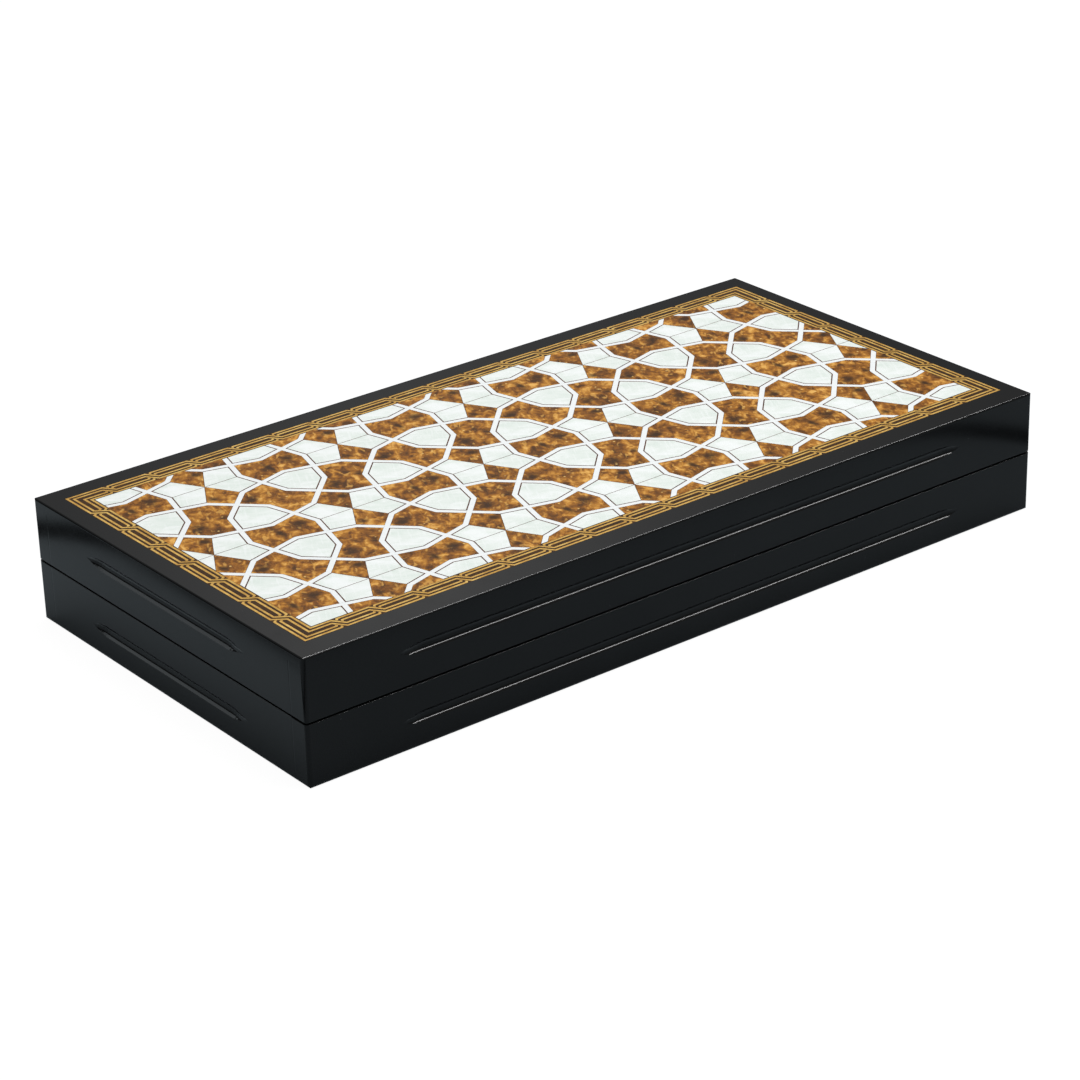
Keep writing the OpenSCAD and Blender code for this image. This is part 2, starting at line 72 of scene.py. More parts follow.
# Where their feet and tips lie along the case, their pitch across it, and half a foot
FOOT_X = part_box("lower_board")[1].x
TIP_X = FOOT_X - POINT_L
POINT_PITCH = (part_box("lower_board")[1].y + BOARD_CLEARANCE) / 3
HALF_FOOT = (POINT_PITCH - POINT_GAP) / 2

# The gilt stringing of the points: its width and height, how far it stays from the veneer of
# a point, and how far it ends from the rails
STRING_W = 0.45 * MM
STRING_H = 0.25 * MM
STRING_CLEARANCE = 0.01 * MM
STRING_END = 0.3 * MM

# The rosettes: their veneer's height, and of each ring its finish, the turn of its first
# lozenge, its radius, and half the length and half the width of a lozenge
ROSETTE_T = 0.2 * MM
ROSETTE_RINGS = {
    "pearl": ("pearl_veneer", 0, 9.5 * MM, 6 * MM, 2.1 * MM),
    "dark": ("dark_veneer", 15, 15.5 * MM, 4.5 * MM, 1.5 * MM)
}
LOZENGES = 12

# The lattice of the inlay's rings, how far the whole pattern lies off the lid's middle, and
# the middle of one ring
RING_PITCH = 83.8 * MM
RING_ROW = RING_PITCH * math.sin(math.radians(60))
PATTERN_OFF_X = 0.9 * MM
PATTERN_OFF_Y = 1 * MM
RING_MIDDLE = Vector((PATTERN_OFF_X + RING_PITCH / 2, PATTERN_OFF_Y, 0))

# How far the filler of the joints lies below the tops of the tiles
FILLER_DROP = 0.01 * MM

# Dice: edge length, where each lies and its turn; the ball that sinks a pip, and the rows
DIE_A = 13 * MM
DICE_PLACES = [(-11.7 * MM, -46.8 * MM, 20), (10.4 * MM, -29.9 * MM, 65)]
PIP_R = 1.2 * MM
PIP_DEEP = 0.7 * MM
PIP_PITCH = 3.4 * MM
# The paint in a pip: its thickness, and how far above the face its last row of points may lie
PAINT_T = 0.02 * MM
PAINT_REACH = 0.15 * MM
# Each face of a die: how many pips, and the turn that brings it up
DIE_FACES = [(6, 0, "X"), (1, 180, "X"), (5, 90, "X"), (2, -90, "X"), (4, 90, "Y"), (3, -90, "Y")]

# The camera, found from the case's edges and the strapwork in the photograph
CAMERA_AT = Vector((-0.97327, -1.24741, 0.74886))
CAMERA_AZIMUTH = -37.7934
CAMERA_ELEVATION = 24.9385
CAMERA_ROLL = -1.5912
CAMERA_LENS = 108.654

# The pale table top that the lacquer mirrors: the middle of its rounded corners, their
# radius, the width of the painted shadow round it (a dark ring that stands in for the shade
# at the table's edge), and the colours that show of both
TABLE_CORNER = (218 * MM, 150 * MM, 0)
TABLE_R = 94 * MM
EDGE_SHADOW_WIDTH = 22 * MM
TABLE_TINT = (0.74, 0.86, 0.93, 1)
EDGE_SHADOW_TINT = (0.01, 0.01, 0.012, 1)

# The floor's own tint, and the share and the strength of the light of its own that the camera
# sees, at which it looks white and still takes a shadow
PAPER_TINT = (0.78, 0.78, 0.78, 1)
PAPER_GLOW = 0.86
PAPER_STRENGTH = 1.1

# Where the soft glow on the studio's far wall lies, as a direction that the lid's top mirrors
GLOW_AT = Vector((0.5127, 0.7188, 0.4695))

# The end grain of the long rails shows on the short sides, from here on out to the corners
JOINT_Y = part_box("lower_left_rail")[1].y


def tone(red, green, blue):
    """A colour from its 0 to 255 screen values, as the linear one that a shader takes."""
    linear = []
    for value in (red, green, blue):
        v = value / 255
        linear.append(v / 12.92 if v <= 0.04045 else ((v + 0.055) / 1.055) ** 2.4)
    return (*linear, 1)


class Recipe:
    """The node tree of a material or of the world, written one ingredient at a time."""

    def __init__(self, name, store=bpy.data.materials):
        self.made = store.new(name)
        self.made.use_nodes = True
        self.nodes = self.made.node_tree.nodes
        self.links = self.made.node_tree.links
        self.finish = self.nodes.get("Principled BSDF")
        self.coordinates = self.add("ShaderNodeTexCoord").outputs
        self.place = self.coordinates["Object"]

    def add(self, kind, settings=(), **inputs):
        node = self.nodes.new(kind)
        for name, value in dict(settings).items():
            setattr(node, name, value)
        for name, value in inputs.items():
            self.feed(node.inputs[name.replace("_", " ")], value)
        return node

    def feed(self, socket, value):
        if isinstance(value, bpy.types.NodeSocket):
            self.links.new(value, socket)
        else:
            socket.default_value = value

    def set(self, **inputs):
        for name, value in inputs.items():
            self.feed(self.finish.inputs[name.replace("_", " ")], value)

    def math(self, operation, *values, clamp=False):
        node = self.add("ShaderNodeMath", {"operation": operation, "use_clamp": clamp})
        for socket, value in zip(node.inputs, values):
            self.feed(socket, value)
        return node.outputs[0]

    def vector(self, operation, *values):
        node = self.add("ShaderNodeVectorMath", {"operation": operation})
        for socket, value in zip(node.inputs, values):
            self.feed(socket, value)
        return node.outputs["Value" if operation in ("LENGTH", "DISTANCE") else "Vector"]

    def mapped(self, place, shift=(0, 0, 0), scale=(1, 1, 1)):
        node = self.add("ShaderNodeMapping", Vector=place, Location=shift, Scale=scale)
        return node.outputs["Vector"]

    def leaning(self, place, angle, along, across):
        """A place whose features come out longer along a direction in the plan than across it."""
        node = self.add("ShaderNodeMapping", {"vector_type": "TEXTURE"}, Vector=place,
                        Rotation=(0, 0, angle), Scale=(along, across, 1))
        return node.outputs["Vector"]

    def split(self, place):
        return self.add("ShaderNodeSeparateXYZ", Vector=place).outputs

    def joined(self, x, y, z=0.0):
        return self.add("ShaderNodeCombineXYZ", X=x, Y=y, Z=z).outputs["Vector"]

    def cloud(self, place, size, detail=3, rough=0.55, distort=0.0, w=None):
        """Noise with features of about the given size in metres."""
        settings = {"noise_dimensions": "3D" if w is None else "4D"}
        node = self.add("ShaderNodeTexNoise", settings, Vector=place, Scale=1 / size, Detail=detail,
                        Roughness=rough, Distortion=distort)
        if w is not None:
            self.feed(node.inputs["W"], w)
        return node.outputs["Fac"]

    def spots(self, place, size):
        """The distance to the nearest of many scattered spots, in steps of the given size."""
        return self.add("ShaderNodeTexVoronoi", Vector=place, Scale=1 / size).outputs["Distance"]

    def ramp(self, value, stops):
        """Colours or greys along a value: stops is a list of (position, tone or number)."""
        node = self.add("ShaderNodeValToRGB", Fac=value)
        line = node.color_ramp
        while len(line.elements) < len(stops):
            line.elements.new(0.5)
        for element, (at, what) in zip(line.elements, stops):
            element.position = at
            element.color = what if isinstance(what, tuple) else (what, what, what, 1)
        return node.outputs["Color"]

    def step(self, value, low, high, start=0.0, end=1.0):
        """A soft step from start to end, as value goes from low to high."""
        limits = {"From_Min": low, "From_Max": high, "To_Min": start, "To_Max": end}
        smooth = {"interpolation_type": "SMOOTHSTEP"}
        return self.add("ShaderNodeMapRange", smooth, Value=value, **limits).outputs["Result"]

    def blend(self, share, first, second, how="MIX"):
        node = self.add("ShaderNodeMix", {"data_type": "RGBA", "blend_type": how})
        self.feed(node.inputs["Factor"], share)
        for socket, value in zip((s for s in node.inputs if s.type == "RGBA"), (first, second)):
            self.feed(socket, value)
        return next(s for s in node.outputs if s.type == "RGBA")

    def relief(self, height, depth, strength=1.0):
        node = self.add("ShaderNodeBump", Strength=strength, Distance=depth, Height=height)
        self.set(Normal=node.outputs["Normal"])

    def shade(self, kind, **inputs):
        return self.add(kind, **inputs).outputs[0]

    def mixed(self, share, first, second):
        node = self.add("ShaderNodeMixShader")
        for socket, value in zip(node.inputs, (share, first, second)):
            self.feed(socket, value)
        return node.outputs[0]

    def close(self, shader):
        """Makes a shader the whole look, in place of the one that the tree came with."""
        output = next(n for n in self.nodes if n.type.startswith("OUTPUT"))
        self.links.new(shader, output.inputs["Surface"])
        if self.finish:
            self.nodes.remove(self.finish)
        return self.made


# Finishes

def black_lacquer(name, joints=False):
    """Satin black: a faint haze in the colour, fine rubs in the gloss and a few grains of dust.
    On the rails a hair line shows where they meet, and their ends stand a touch askew."""
    r = Recipe(name)
    haze = r.cloud(r.place, 60 * MM, detail=2)
    rubs = r.cloud(r.mapped(r.place, scale=(1, 1, 2.5)), 14 * MM, detail=5, rough=0.65)
    dust = r.step(r.spots(r.place, 12 * MM), 0.02, 0.035, 0.2, 0.0)
    body = r.ramp(haze, [(0.3, tone(9, 10, 11)), (0.7, tone(13, 14, 15))])
    height = r.math("MULTIPLY", r.cloud(r.place, 2.2 * MM, detail=2), 0.003)
    if joints:
        out = r.math("SUBTRACT", r.math("ABSOLUTE", r.split(r.place)["Y"]), JOINT_Y)
        line = r.step(r.math("ABSOLUTE", out), 0.1 * MM, 0.5 * MM, 1.0, 0.0)
        body = r.blend(r.math("MULTIPLY", line, 0.7), body, tone(3, 3, 3))
        askew = r.math("MULTIPLY", r.math("MAXIMUM", out, 0), -8)
        height = r.math("ADD", height, r.math("SUBTRACT", askew, r.math("MULTIPLY", line, 0.03)))
    r.set(Base_Color=r.blend(dust, body, tone(90, 94, 96)), Specular_IOR_Level=0.1)
    rubbed = r.step(rubs, 0.5, 0.8, 0.0, 0.04)
    r.set(Roughness=r.math("ADD", r.step(haze, 0.3, 0.7, 0.12, 0.15), rubbed))
    r.relief(height, 1 * MM)
    return r.made


def lattice_place(r):
    """The place on the lid, counted in rings along the two directions of the lattice."""
    x, y, _ = r.split(r.mapped(r.place, shift=-RING_MIDDLE))
    up = r.math("DIVIDE", y, RING_ROW)
    along = r.math("ADD", r.math("DIVIDE", x, RING_PITCH), r.math("MULTIPLY", up, 0.5))
    return along, up


def repeated(r):
    """A place in four dimensions that comes back the same at every ring, so that a figure
    drawn from it repeats with the rings and shows no seam."""
    parts = []
    for count in lattice_place(r):
        angle = r.math("MULTIPLY", count, 2 * math.pi)
        for circle in ("COSINE", "SINE"):
            parts.append(r.math("MULTIPLY", r.math(circle, angle), RING_PITCH / (2 * math.pi)))
    return r.joined(*parts[:3]), parts[3]


def near_ring(r, at):
    """The way to the nearest copy of a spot that lies at a place, from a ring's middle."""
    x, y, _ = r.split(r.mapped(r.place, shift=-RING_MIDDLE - Vector((*at, 0))))
    row = r.math("ROUND", r.math("DIVIDE", y, RING_ROW))
    x = r.math("SUBTRACT", x, r.math("MULTIPLY", row, RING_PITCH / 2))
    column = r.math("ROUND", r.math("DIVIDE", x, RING_PITCH))
    x = r.math("SUBTRACT", x, r.math("MULTIPLY", column, RING_PITCH))
    return r.joined(x, r.math("SUBTRACT", y, r.math("MULTIPLY", row, RING_ROW)))


# Dark knots of the burl, from a ring's middle: place, half width and half height in mm
KNOTS = [
    (51, 43.6, 4.4, 3.6), (12.2, 31.3, 4.8, 4.2), (5.4, 16.3, 4, 3.2), (37.3, 56.9, 3.8, 3.2),
    (11.6, 74.9, 4.8, 4.4), (39, -1.5, 2.2, 6), (28.5, 34.2, 2.8, 2.2)
]
# The way in which the figure of the burl and of the pearl leans
FIGURE_LEAN = math.radians(62)


def burl_tile():
    """Burl: golden mottles that lean one way over a brown body, and soft dark knots."""
    r = Recipe("burl_tile")
    place, w = repeated(r)
    leaning = r.leaning(r.place, FIGURE_LEAN, 1.5, 0.9)
    shade = r.cloud(place, 9 * MM, detail=4, rough=0.6, distort=0.8, w=w)
    mottle = r.cloud(leaning, 5.5 * MM, detail=3, rough=0.55, distort=0.6)
    figure = r.math("ADD", r.math("MULTIPLY", shade, 0.45), r.math("MULTIPLY", mottle, 0.55))
    body = r.ramp(figure, [(0.38, tone(84, 52, 20)), (0.46, tone(126, 78, 28)),
                           (0.52, tone(160, 104, 38)), (0.57, tone(196, 136, 56)),
                           (0.64, tone(236, 182, 98))])
    eyes = r.step(r.cloud(leaning, 3.6 * MM, detail=1, distort=0.5), 0.58, 0.72)
    body = r.blend(r.math("MULTIPLY", eyes, 0.6), body, tone(232, 176, 88))
    wander = r.math("SUBTRACT", r.cloud(place, 5 * MM, detail=3, w=w), 0.5)
    dark = 0.0
    for x, y, half_w, half_h in KNOTS:
        way = near_ring(r, (x * MM, y * MM))
        reach = r.vector("LENGTH", r.mapped(way, scale=(1 / (half_w * MM), 1 / (half_h * MM), 1)))
        reach = r.math("ADD", reach, r.math("MULTIPLY", wander, 2.4))
        dark = r.math("MAXIMUM", dark, r.step(reach, 0.2, 1.5, 1.0, 0.0))
    body = r.blend(r.math("MULTIPLY", dark, 0.92), body, tone(58, 38, 22))
    glints = r.step(r.spots(r.place, 7 * MM), 0.06, 0.12, 0.8, 0.0)
    body = r.blend(glints, body, tone(240, 200, 124))
    r.set(Base_Color=body, Roughness=r.step(figure, 0.4, 0.6, 0.26, 0.34), Specular_IOR_Level=0.08)
    return r.made


def pearl_tile():
    """Pearl: soft clouds, whiter in places, and fine streaks that lean as the burl's figure."""
    r = Recipe("pearl_tile")
    place, w = repeated(r)
    cloud = r.cloud(place, 14 * MM, detail=4, rough=0.6, distort=0.8, w=w)
    body = r.ramp(cloud, [(0.34, tone(226, 236, 229)), (0.5, tone(236, 243, 238)),
                          (0.64, tone(247, 251, 250))])
    streaks = r.cloud(r.leaning(r.place, FIGURE_LEAN, 6, 0.6), 2.4 * MM)
    body = r.blend(r.step(streaks, 0.5, 0.7, 0.0, 0.5), body, tone(248, 252, 251))
    r.set(Base_Color=body, Roughness=r.step(cloud, 0.3, 0.7, 0.24, 0.3), Specular_IOR_Level=0.1)
    return r.made


def white_strap():
    """White strips with a faint fine grain."""
    r = Recipe("white_strap")
    grain = r.cloud(r.place, 3 * MM, detail=3)
    r.set(Base_Color=r.ramp(grain, [(0.3, tone(238, 243, 244)), (0.7, tone(247, 250, 250))]))
    r.set(Roughness=r.step(grain, 0.3, 0.7, 0.24, 0.3), Specular_IOR_Level=0.1)
    return r.made


def dark_ground():
    """Dark brown between the gilt lines, and redder in the joints among the tiles."""
    r = Recipe("dark_ground")
    grain = r.cloud(r.mapped(r.place, scale=(0.2, 1, 1)), 2 * MM, detail=3)
    low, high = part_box("inlay_straps")
    away = r.vector("ABSOLUTE", r.mapped(r.place, shift=-(low + high) / 2))
    x, y, _ = r.split(r.vector("SUBTRACT", away, (high - low) / 2))
    border = r.step(r.math("MAXIMUM", x, y), 0.0, 0.2 * MM)
    joints = r.ramp(grain, [(0.3, tone(66, 34, 14)), (0.7, tone(100, 54, 24))])
    between = r.ramp(grain, [(0.3, tone(46, 28, 12)), (0.7, tone(78, 52, 26))])
    r.set(Base_Color=r.blend(border, joints, between))
    r.set(Roughness=r.step(grain, 0.3, 0.7, 0.3, 0.4), Specular_IOR_Level=0.1)
    return r.made


def gilt_line():
    """Gilt: leaf of uneven depth, with thin worn flecks where the brown shows through."""
    r = Recipe("gilt_line")
    leaf = r.cloud(r.place, 6 * MM, detail=4, rough=0.6)
    fleck = r.cloud(r.leaning(r.place, math.radians(35), 2, 0.7), 1.3 * MM, detail=3)
    body = r.ramp(leaf, [(0.3, tone(190, 144, 64)), (0.5, tone(220, 174, 86)),
                         (0.7, tone(242, 204, 116))])
    body = r.blend(r.step(fleck, 0.5, 0.72, 0.0, 0.4), body, tone(172, 122, 56))
    r.set(Base_Color=body, Metallic=0.25, Specular_IOR_Level=0.2)
    r.set(Roughness=r.step(fleck, 0.3, 0.7, 0.3, 0.42))
    r.relief(fleck, 0.01 * MM)
    return r.made


def wood(name, light, dark, size):
    """Straight-grained veneer with its grain along X."""
    r = Recipe(name)
    wave = r.cloud(r.mapped(r.place, scale=(0.06, 1, 1)), size * 3, detail=2, distort=0.6)
    grain = r.cloud(r.mapped(r.place, scale=(0.035, 1, 1)), size, detail=6, rough=0.7)
    pores = r.step(r.cloud(r.mapped(r.place, scale=(0.05, 1, 1)), size / 4, detail=1), 0.62, 0.72)
    tint = r.math("ADD", r.math("MULTIPLY", wave, 0.6), r.math("MULTIPLY", grain, 0.4))
    body = r.ramp(tint, [(0.36, dark), (0.5, light), (0.64, dark)])
    body = r.blend(r.math("MULTIPLY", pores, 0.5), body, dark)
    r.set(Base_Color=body, Roughness=r.step(grain, 0.3, 0.7, 0.34, 0.44))
    r.relief(grain, 0.02 * MM, 0.5)
    return r.made


def pearl_veneer():
    """The pale points: clouds that run along them."""
    r = Recipe("pearl_veneer")
    long = r.mapped(r.place, scale=(0.5, 1, 1))
    cloud = r.cloud(long, 14 * MM, detail=5, rough=0.6, distort=1.0)
    body = r.ramp(cloud, [(0.3, tone(208, 216, 204)), (0.5, tone(230, 234, 226)),
                          (0.7, tone(246, 246, 242))])
    r.set(Base_Color=body, Roughness=r.step(cloud, 0.3, 0.7, 0.22, 0.3))
    return r.made


def metal(name, tint, shade, rough, brushed=(1, 1, 1)):
    """Worked metal, a little darker and duller in its stains, with fine marks in the gloss."""
    r = Recipe(name)
    hairs = r.cloud(r.mapped(r.place, scale=brushed), 0.8 * MM, detail=3)
    stain = r.cloud(r.place, 12 * MM, detail=3)
    r.set(Base_Color=r.ramp(stain, [(0.35, shade), (0.6, tint)]), Metallic=1.0)
    duller = r.step(stain, 0.4, 0.7, 0.06, 0.0)
    r.set(Roughness=r.math("ADD", r.step(hairs, 0.3, 0.7, rough, rough + 0.12), duller))
    r.relief(hairs, 0.01 * MM, 0.6)
    return r.made


def turned_piece(name, light, dark, rough=0.3):
    """Checkers and dice: a close, pale or dark body with faint clouds and fine turning marks."""
    r = Recipe(name)
    cloud = r.cloud(r.place, 11 * MM, detail=4, distort=0.7)
    marks = r.cloud(r.mapped(r.place, scale=(1, 1, 5)), 1.5 * MM, detail=2)
    r.set(Base_Color=r.ramp(cloud, [(0.32, dark), (0.62, light)]))
    r.set(Roughness=r.step(marks, 0.3, 0.7, rough, rough + 0.08))
    r.relief(marks, 0.01 * MM, 0.5)
    return r.made


FINISHES = {
    black_lacquer("black_lacquer"): ["base_panel", "lid_panel"],
    black_lacquer("rail_lacquer", joints=True): [
        "lower_front_rail", "lower_back_rail", "lower_left_rail", "lower_right_rail",
        "lid_front_rail", "lid_back_rail", "lid_left_rail", "lid_right_rail"],
    wood("field_veneer", tone(150, 92, 44), tone(112, 64, 30), 5 * MM): [
        "lower_board", "lid_board"],
    pearl_veneer(): ["lower_pearl_points", "lid_pearl_points"],
    wood("dark_veneer", tone(66, 38, 24), tone(44, 26, 18), 3 * MM): [
        "lower_dark_points", "lid_dark_points"],
    dark_ground(): ["inlay_ground"],
    white_strap(): ["inlay_straps"],
    pearl_tile(): ["inlay_pearl_tiles"],
    burl_tile(): ["inlay_burl_tiles"],
    gilt_line(): ["inlay_gilt_border"],
    metal("hinge_brass", tone(214, 178, 104), tone(182, 142, 74), 0.24, (0.1, 1, 1)): [
        "left_hinge_lower_leaf", "left_hinge_lid_leaf", "left_hinge_pin",
        "right_hinge_lower_leaf", "right_hinge_lid_leaf", "right_hinge_pin"],
    metal("screw_brass", tone(206, 168, 96), tone(160, 122, 64), 0.3): [
        "lower_hinge_screws", "lid_hinge_screws"],
    metal("magnet_nickel", tone(196, 196, 192), tone(160, 160, 158), 0.18): [
        "lower_magnets", "lid_magnets"],
    turned_piece("light_checker", tone(236, 224, 196), tone(218, 200, 166)): ["light_checkers"],
    turned_piece("dark_checker", tone(58, 34, 26), tone(36, 22, 18)): ["dark_checkers"],
    turned_piece("dice_ivory", tone(242, 236, 220), tone(228, 218, 196), 0.22): ["dice"],
}


def dress_frame():
    for material, names in FINISHES.items():
        for name in names:
            for slot in NODES[name].material_slots:
                slot.material = material


def piece(name, mesh, material, body):
    """An object made from a mesh whose points already lie in place."""
    mesh.materials.clear()
    mesh.materials.append(material)
    obj = bpy.data.objects.new(name, mesh)
    bpy.context.scene.collection.objects.link(obj)
    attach(obj, body)
    return obj


def joint_filler():
    """The ground veneer with its dark filler, which stands in every joint to just under the
    tops of the tiles."""
    low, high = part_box("inlay_ground")
    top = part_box("inlay_pearl_tiles")[1].z - FILLER_DROP
    plan = [(low.x, low.y), (high.x, low.y), (high.x, high.y), (low.x, high.y)]
    corners = [(x, y, z) for z in (low.z, top) for x, y in plan]
    sides = [(i, (i + 1) % 4, (i + 1) % 4 + 4, i + 4) for i in range(4)]
    mesh = bpy.data.meshes.new("inlay_filled_ground")
    mesh.from_pydata(corners, [], [(3, 2, 1, 0), (4, 5, 6, 7)] + sides)
    ground = NODES["inlay_ground"].material_slots[0].material
    obj = piece("inlay_filled_ground", mesh, ground, "lid")
    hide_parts("inlay_ground")


# What repeats inside, grown by Geometry Nodes on a carrier of points or edges. These small
# pieces carry the frame's own plain materials, which have the names of their slots

class Growth:
    """A Geometry Nodes tree, written one step at a time, with its sizes as named inputs."""

    def __init__(self, name, sizes):
        self.tree = bpy.data.node_groups.new(name, "GeometryNodeTree")
        sockets = self.tree.interface
        kinds = {"Carrier": "Geometry", **dict.fromkeys(sizes, "Float"), "Finish": "Material"}
        self.ids = {}
        for label, kind in kinds.items():
            socket = sockets.new_socket(label, in_out="INPUT", socket_type="NodeSocket" + kind)
            self.ids[label] = socket.identifier
        sockets.new_socket("Geometry", in_out="OUTPUT", socket_type="NodeSocketGeometry")
        self.given = self.tree.nodes.new("NodeGroupInput").outputs

    def add(self, kind, settings=(), **inputs):
        node = self.tree.nodes.new(kind)
        for name, value in dict(settings).items():
            setattr(node, name, value)
        for name, value in inputs.items():
            label = name.replace("_", " ")
            socket = next(s for s in node.inputs if s.name == label and s.enabled)
            if isinstance(value, bpy.types.NodeSocket):
                self.tree.links.new(value, socket)
            else:
                socket.default_value = value
        return next(s for s in node.outputs if s.enabled)

    def attribute(self, name, kind):
        return self.add("GeometryNodeInputNamedAttribute", {"data_type": kind}, Name=name)

    def close(self, shape):
        real = self.add("GeometryNodeRealizeInstances", Geometry=shape)
        done = self.add("GeometryNodeSetMaterial", Geometry=real, Material=self.given["Finish"])
        self.tree.links.new(done, self.tree.nodes.new("NodeGroupOutput").inputs[0])


def grown(name, growth, sizes, carrier, material, body, slot, **marks):
    """A piece grown on a carrier mesh; marks are vectors that its points carry."""
    for mark, values in marks.items():
        layer = carrier.attributes.new(mark, "FLOAT_VECTOR", "POINT")
        layer.data.foreach_set("vector", [number for value in values for number in value])
    holder = bpy.data.objects.new(name + "_carrier", carrier)
    bpy.context.scene.collection.objects.link(holder)
    modifier = holder.modifiers.new(name, "NODES")
    modifier.node_group = growth.tree
    for label, value in dict(sizes, Finish=material).items():
        modifier[growth.ids[label]] = value
    holder.update_tag()
    finished = holder.evaluated_get(bpy.context.evaluated_depsgraph_get())
    mesh = bpy.data.meshes.new_from_object(finished)
    holder.modifiers.clear()
    bpy.data.objects.remove(holder)
    mesh.name = name
    return piece(name, mesh, material, body)


def carrier_mesh(points, edges=()):
    mesh = bpy.data.meshes.new("carrier")
    mesh.from_pydata(points, edges, [])
    return mesh


def pip_paint():
    """Dark paint that lines each pip of the dice like a small bowl."""
    sizes = {"Ball Radius": PIP_R - PAINT_T, "Rim Height": PIP_DEEP + PAINT_REACH - PIP_R}
    g = Growth("pip_bowls", sizes)
    ball = g.add("GeometryNodeMeshUVSphere", Segments=16, Rings=11, Radius=g.given["Ball Radius"])
    apart = g.add("ShaderNodeSeparateXYZ", Vector=g.add("GeometryNodeInputPosition"))
    above = g.add("FunctionNodeCompare", {"data_type": "FLOAT", "operation": "GREATER_THAN"},
                  A=apart.node.outputs["Z"], B=g.given["Rim Height"])
    bowl = g.add("GeometryNodeDeleteGeometry", Geometry=ball, Selection=above)
    bowl = g.add("GeometryNodeFlipFaces", Mesh=bowl)
    turn = g.add("FunctionNodeAlignRotationToVector", {"axis": "Z"},
                 Vector=g.attribute("facing", "FLOAT_VECTOR"))
    g.close(g.add("GeometryNodeInstanceOnPoints", Points=g.given["Carrier"], Instance=bowl,
                  Rotation=turn))

    middle = BOARDS["lower_case"][0] + DIE_A / 2
    places, facing = [], []
    for x, y, turn in DICE_PLACES:
        die = Matrix.Translation((x, y, middle)) @ Matrix.Rotation(math.radians(turn), 4, "Z")
        for count, angle, axis in DIE_FACES:
            face = die @ Matrix.Rotation(math.radians(angle), 4, axis)
            for i, j in pip_spots(count):
                at = Vector((i * PIP_PITCH, j * PIP_PITCH, DIE_A / 2 + PIP_R - PIP_DEEP))
                places.append(face @ at)
                facing.append(face.to_3x3() @ Vector((0, 0, 1)))
    paint = bpy.data.materials["dark_checker"]
    grown("dice_pip_paint", g, sizes, carrier_mesh(places), paint, "lower_case", "dark_checker",
          facing=facing)


def pip_spots(count):
    """The rows and columns of a face's pips."""
    spots = [(0, 0)] if count % 2 else []
    spots += [(-1, -1), (1, 1)] if count > 1 else []
    spots += [(-1, 1), (1, -1)] if count > 3 else []
    return spots + ([(0, -1), (0, 1)] if count == 6 else [])


def point_stringing():
    """A fine gilt line along both long edges of every point."""
    sizes = {"Line Width": STRING_W, "Line Height": STRING_H}
    g = Growth("stringing_lines", sizes)
    profile = g.add("GeometryNodeCurvePrimitiveQuadrilateral", Width=g.given["Line Width"],
                    Height=g.given["Line Height"])
    path = g.add("GeometryNodeMeshToCurve", Mesh=g.given["Carrier"])
    g.close(g.add("GeometryNodeCurveToMesh", Curve=path, Profile_Curve=profile, Fill_Caps=True))

    gilt = bpy.data.materials["gilt_line"]
    away = STRING_W / 2 + STRING_CLEARANCE
    for body, (board, up) in BOARDS.items():
        z = board + up * STRING_H / 2
        ends = []
        for end in (-1, 1):
            for row in range(6):
                y = (row - 2.5) * POINT_PITCH
                for side in (-1, 1):
                    ends.append((end * (FOOT_X - STRING_END), y + side * (HALF_FOOT + away), z))
                    ends.append((end * TIP_X, y + side * away, z))
        edges = [(i, i + 1) for i in range(0, len(ends), 2)]
        grown(body + "_stringing", g, sizes, carrier_mesh(ends, edges), gilt, body, "gilt_line")


def rosettes():
    """A small star of twelve pearl and twelve dark lozenges in the middle of each board."""
    sizes = {"Veneer": ROSETTE_T}
    g = Growth("rosette_lozenges", sizes)
    lozenge = g.add("GeometryNodeMeshCylinder", Vertices=4, Radius=1.0, Depth=g.given["Veneer"])
    turn = g.add("FunctionNodeEulerToRotation", Euler=g.attribute("turn", "FLOAT_VECTOR"))
    g.close(g.add("GeometryNodeInstanceOnPoints", Points=g.given["Carrier"], Instance=lozenge,
                  Rotation=turn, Scale=g.attribute("spread", "FLOAT_VECTOR")))

    for body, (board, up) in BOARDS.items():
        z = board + up * ROSETTE_T / 2
        for shade, (finish, start, radius, half_l, half_w) in ROSETTE_RINGS.items():
            angles = [math.radians(start + 360 / LOZENGES * i) for i in range(LOZENGES)]
            places = [(radius * math.cos(a), radius * math.sin(a), z) for a in angles]
            grown("%s_rosette_%s" % (body, shade), g, sizes, carrier_mesh(places),
                  bpy.data.materials[finish], body, finish,
                  turn=[(0, 0, a) for a in angles], spread=[(half_l, half_w, 1)] * LOZENGES)


# The studio

def seen_share(r, camera, glossy):
    """How much of a surface's second look a ray sees, by the kind of the ray."""
    ray = r.add("ShaderNodeLightPath").outputs
    shares = {"Is Camera Ray": camera, "Is Transmission Ray": camera, "Is Glossy Ray": glossy}
    total = 0.0
    for name, share in shares.items():
        total = r.math("MULTIPLY_ADD", ray[name], share, total, clamp=True)
    return total


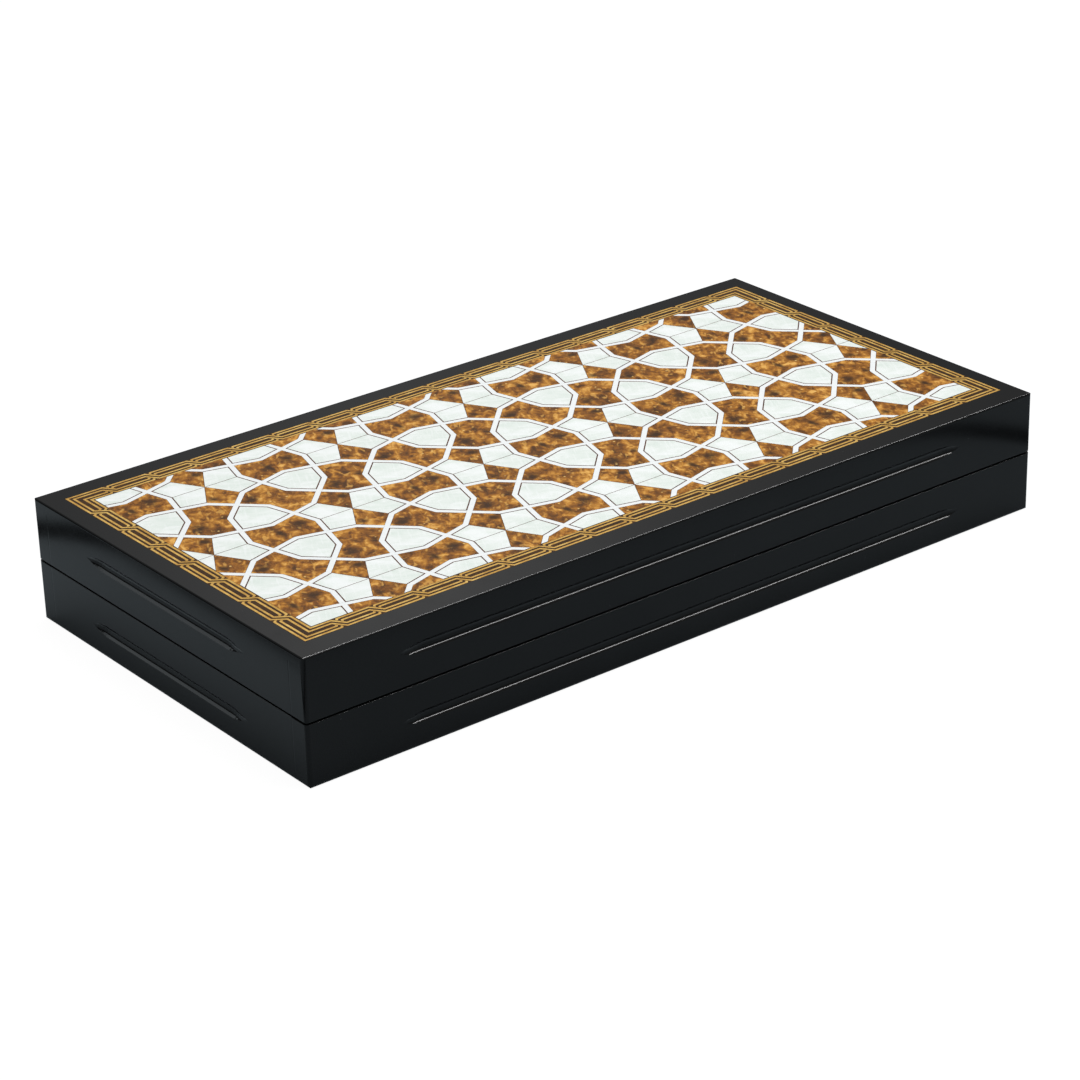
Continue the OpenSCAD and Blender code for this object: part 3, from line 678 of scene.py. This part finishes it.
def paper():
    """The floor: pale paper that takes the case's shadow and looks white in the picture. The
    lacquer mirrors it as a bluish table top with a painted shadow round it: a dark ring that
    stands in for the shade at the table's edge and shows only in the gloss."""
    r = Recipe("floor_paper")
    paper_tint = r.shade("ShaderNodeBsdfDiffuse", Color=PAPER_TINT)
    own_light = r.shade("ShaderNodeEmission", Strength=PAPER_STRENGTH)
    white = r.mixed(seen_share(r, PAPER_GLOW, 0.0), paper_tint, own_light)
    reach = r.vector("SUBTRACT", r.vector("ABSOLUTE", r.place), TABLE_CORNER)
    reach = r.vector("LENGTH", r.vector("MAXIMUM", reach, (0, 0, 0)))
    # A painted shadow: the dark ring round the mirrored table top stands in for the shade at the
    # table's edge
    painted_edge_shadow = r.math("MULTIPLY", r.step(reach, TABLE_R - 4 * MM, TABLE_R + 4 * MM),
                r.step(reach, TABLE_R + EDGE_SHADOW_WIDTH - 8 * MM, TABLE_R + EDGE_SHADOW_WIDTH + 8 * MM, 1.0, 0.0))
    mirrored = r.mixed(painted_edge_shadow, r.shade("ShaderNodeBsdfDiffuse", Color=TABLE_TINT),
                       r.shade("ShaderNodeBsdfDiffuse", Color=EDGE_SHADOW_TINT))
    return r.close(r.mixed(seen_share(r, 0.0, 1.0), white, mirrored))


def floor():
    half = 6.0
    corners = [(-half, -half, 0), (half, -half, 0), (half, half, 0), (-half, half, 0)]
    mesh = bpy.data.meshes.new("studio_floor")
    mesh.from_pydata(corners, [], [(0, 1, 2, 3)])
    mesh.materials.append(paper())
    obj = bpy.data.objects.new("studio_floor", mesh)
    bpy.context.scene.collection.objects.link(obj)


def softbox(name, at, width, height, power, aim=(0, 0, 0.03), color=(1, 1, 1)):
    """A rectangular light: its sides in metres, its power in watts and the spot it faces."""
    light = bpy.data.lights.new(name, "AREA")
    light.shape = "RECTANGLE"
    light.size, light.size_y, light.energy, light.color = width, height, power, color
    obj = bpy.data.objects.new(name, light)
    obj.location = at
    obj.rotation_euler = (Vector(aim) - Vector(at)).to_track_quat("-Z", "Y").to_euler()
    bpy.context.scene.collection.objects.link(obj)
    return obj


def only_gloss(light, names):
    """Keeps a light to the gloss of the named nodes."""
    light.visible_diffuse = False
    lit = bpy.data.collections.new(light.name + "_receivers")
    for name in names:
        lit.objects.link(NODES[name])
    light.light_linking.receiver_collection = lit


def room():
    """Dim walls that grow lighter upwards and in front, with a soft glow behind the case."""
    r = Recipe("studio", bpy.data.worlds)
    look = r.coordinates["Generated"]
    _, y, z = r.split(look)
    walls = r.ramp(z, [(0.34, 0.08), (0.4, 0.16), (0.6, 0.5)])
    walls = r.blend(1.0, walls, r.step(y, -0.2, -0.6, 0.0, 0.35), "ADD")
    glow = r.ramp(r.vector("DISTANCE", look, GLOW_AT), [
        (0.0, 1.25), (0.04, 1.0), (0.09, 0.5), (0.13, 0.3), (0.18, 0.2), (0.26, 0.08), (0.34, 0.0)])
    dim = r.shade("ShaderNodeBackground", Color=r.blend(1.0, walls, glow, "ADD"))
    white = r.shade("ShaderNodeBackground", Color=(1, 1, 1, 1))
    r.nodes.remove(r.nodes["Background"])
    bpy.context.scene.world = r.close(r.mixed(seen_share(r, 1.0, 0.0), dim, white))


def studio():
    floor()
    room()
    softbox("overhead_light", (0.3, -0.15, 1.6), width=1.2, height=1.2, power=16)
    # The rest show only in the gloss: as the band along the left grooves, the lips of the
    # front grooves and the light line along the lid's front edge
    left = softbox("left_band", (-1.1, 1.15, 0.85), width=0.8, height=1.1, power=8,
                   color=(0.86, 0.95, 1))
    only_gloss(left, ["lower_left_rail", "lid_left_rail"])
    lips = softbox("lip_strip", (0.74, -0.96, 0.59), width=0.75, height=0.08, power=15,
                   aim=(0.74, 0, 0.05))
    only_gloss(lips, ["lower_front_rail", "lid_front_rail"])
    for name, x, width, power in (("edge_strip", 0.775, 0.85, 20), ("edge_glint", 0.37, 0.14, 9)):
        edge = softbox(name, (x, 0.225, 1.07), width, height=0.12, power=power, aim=(x, -0.1, 0))
        only_gloss(edge, ["lid_panel"])
    bpy.context.scene.view_settings.view_transform = "Standard"


def camera():
    data = bpy.data.cameras.new("photo_camera")
    data.lens, data.sensor_width = CAMERA_LENS, 36
    obj = bpy.data.objects.new("photo_camera", data)
    turn = Matrix.Rotation(math.radians(CAMERA_AZIMUTH), 4, "Z")
    tilt = Matrix.Rotation(math.radians(90 - CAMERA_ELEVATION), 4, "X")
    roll = Matrix.Rotation(math.radians(CAMERA_ROLL), 4, "Z")
    obj.matrix_world = Matrix.Translation(CAMERA_AT) @ turn @ tilt @ roll
    bpy.context.scene.collection.objects.link(obj)
    bpy.context.scene.camera = obj


dress_frame()
joint_filler()
pip_paint()
point_stringing()
rosettes()
studio()
camera()
